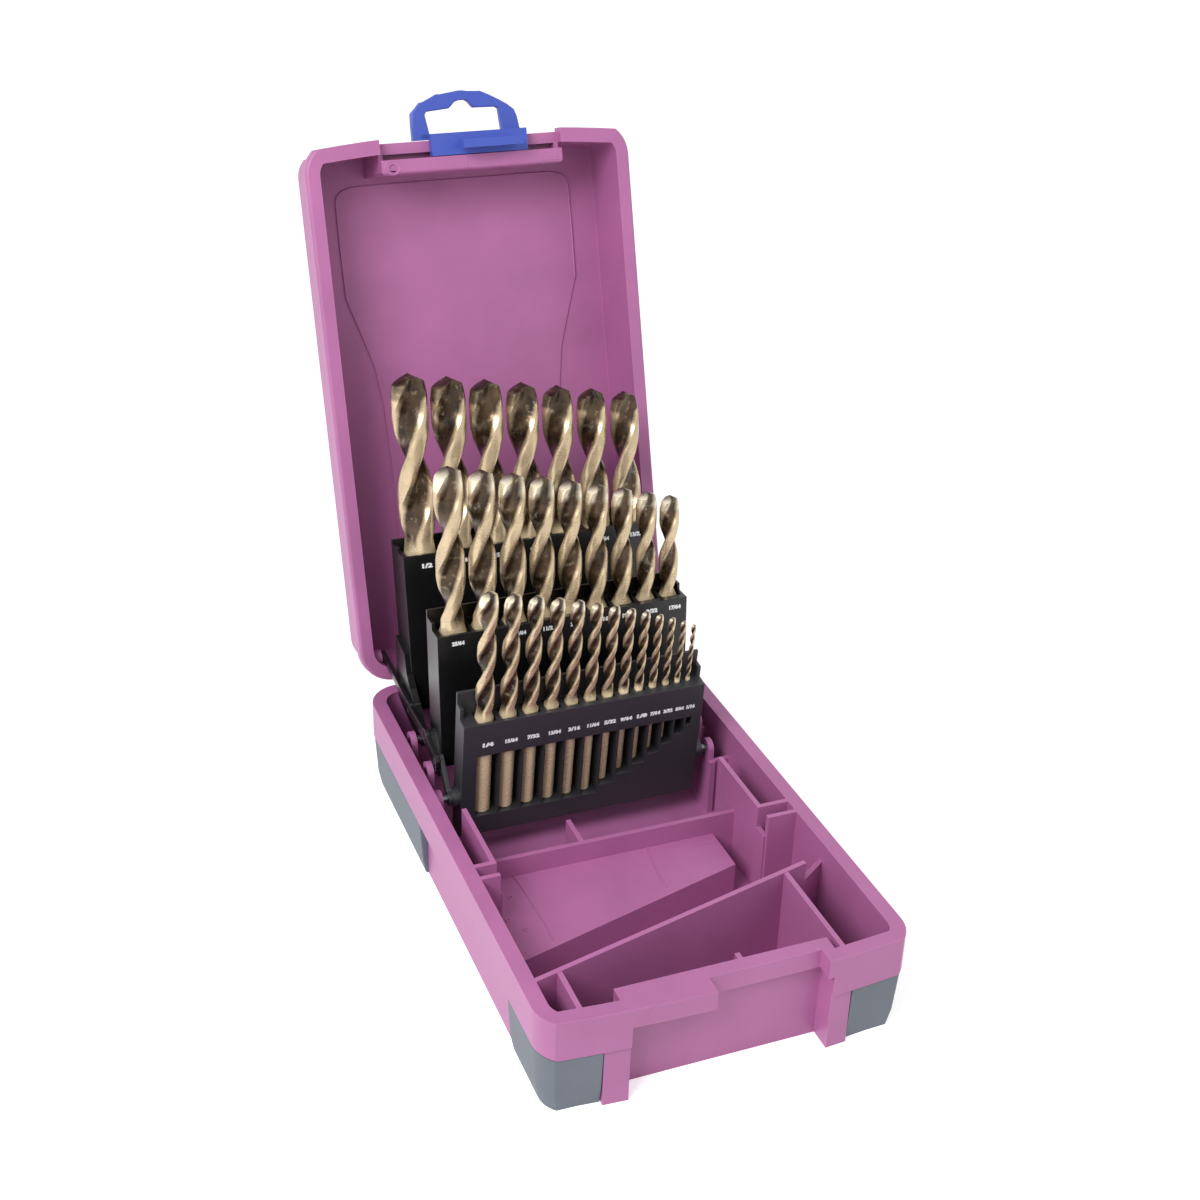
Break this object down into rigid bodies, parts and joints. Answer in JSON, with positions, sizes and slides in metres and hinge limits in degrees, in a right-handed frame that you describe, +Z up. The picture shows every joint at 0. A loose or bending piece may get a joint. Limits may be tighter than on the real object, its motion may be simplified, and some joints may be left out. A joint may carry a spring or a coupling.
{
  "type": "drill bit case",
  "caption": "Open hinged plastic drill bit case with folding tiers of twist bits, a divided tray, corner bumpers and a sliding latch with a hanging loop.",
  "frame": {"origin": "middle of the tray's flat underside", "axes": "+X to the right seen from the front, +Y towards the lid hinge, +Z up; the lid stands open at rest"},
  "size_m": [0.12, 0.2774, 0.2329],
  "materials": {
    "shell": "satin moulded pink plastic",
    "bumper": "soft-touch grey",
    "latch": "satin blue",
    "rack": "glossy black",
    "pin": "plain",
    "bit": "bronze-coloured oxide"
  },
  "bodies": {
    "tray": {"base_tray": "shell", "bumper_front_left": "bumper", "bumper_front_right": "bumper", "bumper_rear_left": "bumper", "bumper_rear_right": "bumper", "hinge_pins": "pin", "rack_axle_pins": "pin"},
    "lid": {"lid_shell": "shell", "lid_link_pins": "pin"},
    "latch": {"latch_hanger": "latch"},
    "rear tier": {"rear_tier": "rack"},
    "middle tier": {"middle_tier": "rack"},
    "front tier": {"front_tier": "rack"},
    "left link": {"link_bar_left": "rack"},
    "right link": {"link_bar_right": "rack"},
    "bit_32": {"bit_32": "bit"},
    "bit_31": {"bit_31": "bit"},
    "bit_30": {"bit_30": "bit"},
    "bit_29": {"bit_29": "bit"},
    "bit_28": {"bit_28": "bit"},
    "bit_27": {"bit_27": "bit"},
    "bit_26": {"bit_26": "bit"},
    "bit_25": {"bit_25": "bit"},
    "bit_24": {"bit_24": "bit"},
    "bit_23": {"bit_23": "bit"},
    "bit_22": {"bit_22": "bit"},
    "bit_21": {"bit_21": "bit"},
    "bit_20": {"bit_20": "bit"},
    "bit_19": {"bit_19": "bit"},
    "bit_18": {"bit_18": "bit"},
    "bit_17": {"bit_17": "bit"},
    "bit_16": {"bit_16": "bit"},
    "bit_15": {"bit_15": "bit"},
    "bit_14": {"bit_14": "bit"},
    "bit_13": {"bit_13": "bit"},
    "bit_12": {"bit_12": "bit"},
    "bit_11": {"bit_11": "bit"},
    "bit_10": {"bit_10": "bit"},
    "bit_09": {"bit_09": "bit"},
    "bit_08": {"bit_08": "bit"},
    "bit_07": {"bit_07": "bit"},
    "bit_06": {"bit_06": "bit"},
    "bit_05": {"bit_05": "bit"},
    "bit_04": {"bit_04": "bit"}
  },
  "joints": [
    {"name": "lid_hinge", "type": "hinge", "parent": "tray", "child": "lid", "pos_m": [0, 0.096, 0.035], "axis": [-1, 0, 0], "range_deg": [-107, 0]},
    {"name": "rear_tier_fold", "type": "hinge", "parent": "tray", "child": "rear tier", "pos_m": [-0.002, 0.06038, 0.0325], "axis": [-1, 0, 0], "range_deg": [-100.1, 0.1]},
    {"name": "middle_tier_fold", "type": "hinge", "parent": "tray", "child": "middle tier", "pos_m": [-0.002, 0.04047, 0.0325], "axis": [-1, 0, 0], "range_deg": [-93.6, 0.1]},
    {"name": "front_tier_fold", "type": "hinge", "parent": "tray", "child": "front tier", "pos_m": [-0.002, 0.02958, 0.0276], "axis": [-1, 0, 0], "range_deg": [-83.4, 0.1]},
    {"name": "left_link_pivot", "type": "hinge", "parent": "lid", "child": "left link", "pos_m": [-0.05015, 0.105, 0.0417], "axis": [1, 0, 0], "range_deg": [-107.1, 0.1]},
    {"name": "right_link_pivot", "type": "hinge", "parent": "lid", "child": "right link", "pos_m": [0.04615, 0.105, 0.0417], "axis": [1, 0, 0], "range_deg": [-107.1, 0.1]},
    {"name": "latch_slide", "type": "slide", "parent": "lid", "child": "latch", "axis": [1, 0, 0], "range_m": [-0.013, 0.012]},
    {"name": "bit_32_lift", "type": "slide", "parent": "rear tier", "child": "bit_32", "axis": [0, 0.1736, 0.9848], "range_m": [0, 0.062]},
    {"name": "bit_31_lift", "type": "slide", "parent": "rear tier", "child": "bit_31", "axis": [0, 0.1736, 0.9848], "range_m": [0, 0.06]},
    {"name": "bit_30_lift", "type": "slide", "parent": "rear tier", "child": "bit_30", "axis": [0, 0.1736, 0.9848], "range_m": [0, 0.058]},
    {"name": "bit_29_lift", "type": "slide", "parent": "rear tier", "child": "bit_29", "axis": [0, 0.1736, 0.9848], "range_m": [0, 0.056]},
    {"name": "bit_28_lift", "type": "slide", "parent": "rear tier", "child": "bit_28", "axis": [0, 0.1736, 0.9848], "range_m": [0, 0.054]},
    {"name": "bit_27_lift", "type": "slide", "parent": "rear tier", "child": "bit_27", "axis": [0, 0.1736, 0.9848], "range_m": [0, 0.052]},
    {"name": "bit_26_lift", "type": "slide", "parent": "rear tier", "child": "bit_26", "axis": [0, 0.1736, 0.9848], "range_m": [0, 0.05]},
    {"name": "bit_25_lift", "type": "slide", "parent": "middle tier", "child": "bit_25", "axis": [0, 0.061, 0.9981], "range_m": [0, 0.054]},
    {"name": "bit_24_lift", "type": "slide", "parent": "middle tier", "child": "bit_24", "axis": [0, 0.061, 0.9981], "range_m": [0, 0.0535]},
    {"name": "bit_23_lift", "type": "slide", "parent": "middle tier", "child": "bit_23", "axis": [0, 0.061, 0.9981], "range_m": [0, 0.053]},
    {"name": "bit_22_lift", "type": "slide", "parent": "middle tier", "child": "bit_22", "axis": [0, 0.061, 0.9981], "range_m": [0, 0.0525]},
    {"name": "bit_21_lift", "type": "slide", "parent": "middle tier", "child": "bit_21", "axis": [0, 0.061, 0.9981], "range_m": [0, 0.052]},
    {"name": "bit_20_lift", "type": "slide", "parent": "middle tier", "child": "bit_20", "axis": [0, 0.061, 0.9981], "range_m": [0, 0.0515]},
    {"name": "bit_19_lift", "type": "slide", "parent": "middle tier", "child": "bit_19", "axis": [0, 0.061, 0.9981], "range_m": [0, 0.051]},
    {"name": "bit_18_lift", "type": "slide", "parent": "middle tier", "child": "bit_18", "axis": [0, 0.061, 0.9981], "range_m": [0, 0.0505]},
    {"name": "bit_17_lift", "type": "slide", "parent": "middle tier", "child": "bit_17", "axis": [0, 0.061, 0.9981], "range_m": [0, 0.05]},
    {"name": "bit_16_lift", "type": "slide", "parent": "front tier", "child": "bit_16", "axis": [0, -0.1167, 0.9932], "range_m": [0, 0.046]},
    {"name": "bit_15_lift", "type": "slide", "parent": "front tier", "child": "bit_15", "axis": [0, -0.1167, 0.9932], "range_m": [0, 0.046]},
    {"name": "bit_14_lift", "type": "slide", "parent": "front tier", "child": "bit_14", "axis": [0, -0.1167, 0.9932], "range_m": [0, 0.046]},
    {"name": "bit_13_lift", "type": "slide", "parent": "front tier", "child": "bit_13", "axis": [0, -0.1167, 0.9932], "range_m": [0, 0.046]},
    {"name": "bit_12_lift", "type": "slide", "parent": "front tier", "child": "bit_12", "axis": [0, -0.1167, 0.9932], "range_m": [0, 0.046]},
    {"name": "bit_11_lift", "type": "slide", "parent": "front tier", "child": "bit_11", "axis": [0, -0.1167, 0.9932], "range_m": [0, 0.046]},
    {"name": "bit_10_lift", "type": "slide", "parent": "front tier", "child": "bit_10", "axis": [0, -0.1167, 0.9932], "range_m": [0, 0.0427]},
    {"name": "bit_09_lift", "type": "slide", "parent": "front tier", "child": "bit_09", "axis": [0, -0.1167, 0.9932], "range_m": [0, 0.0394]},
    {"name": "bit_08_lift", "type": "slide", "parent": "front tier", "child": "bit_08", "axis": [0, -0.1167, 0.9932], "range_m": [0, 0.0361]},
    {"name": "bit_07_lift", "type": "slide", "parent": "front tier", "child": "bit_07", "axis": [0, -0.1167, 0.9932], "range_m": [0, 0.0329]},
    {"name": "bit_06_lift", "type": "slide", "parent": "front tier", "child": "bit_06", "axis": [0, -0.1167, 0.9932], "range_m": [0, 0.0296]},
    {"name": "bit_05_lift", "type": "slide", "parent": "front tier", "child": "bit_05", "axis": [0, -0.1167, 0.9932], "range_m": [0, 0.0263]},
    {"name": "bit_04_lift", "type": "slide", "parent": "front tier", "child": "bit_04", "axis": [0, -0.1167, 0.9932], "range_m": [0, 0.023]}
  ],
  "couplings": [
    {"joint": "rear_tier_fold", "follows": "lid_hinge", "ratio": 0.93458},
    {"joint": "middle_tier_fold", "follows": "lid_hinge", "ratio": 0.87383},
    {"joint": "front_tier_fold", "follows": "lid_hinge", "ratio": 0.77851},
    {"joint": "left_link_pivot", "follows": "lid_hinge", "ratio": 1},
    {"joint": "right_link_pivot", "follows": "lid_hinge", "ratio": 1}
  ]
}
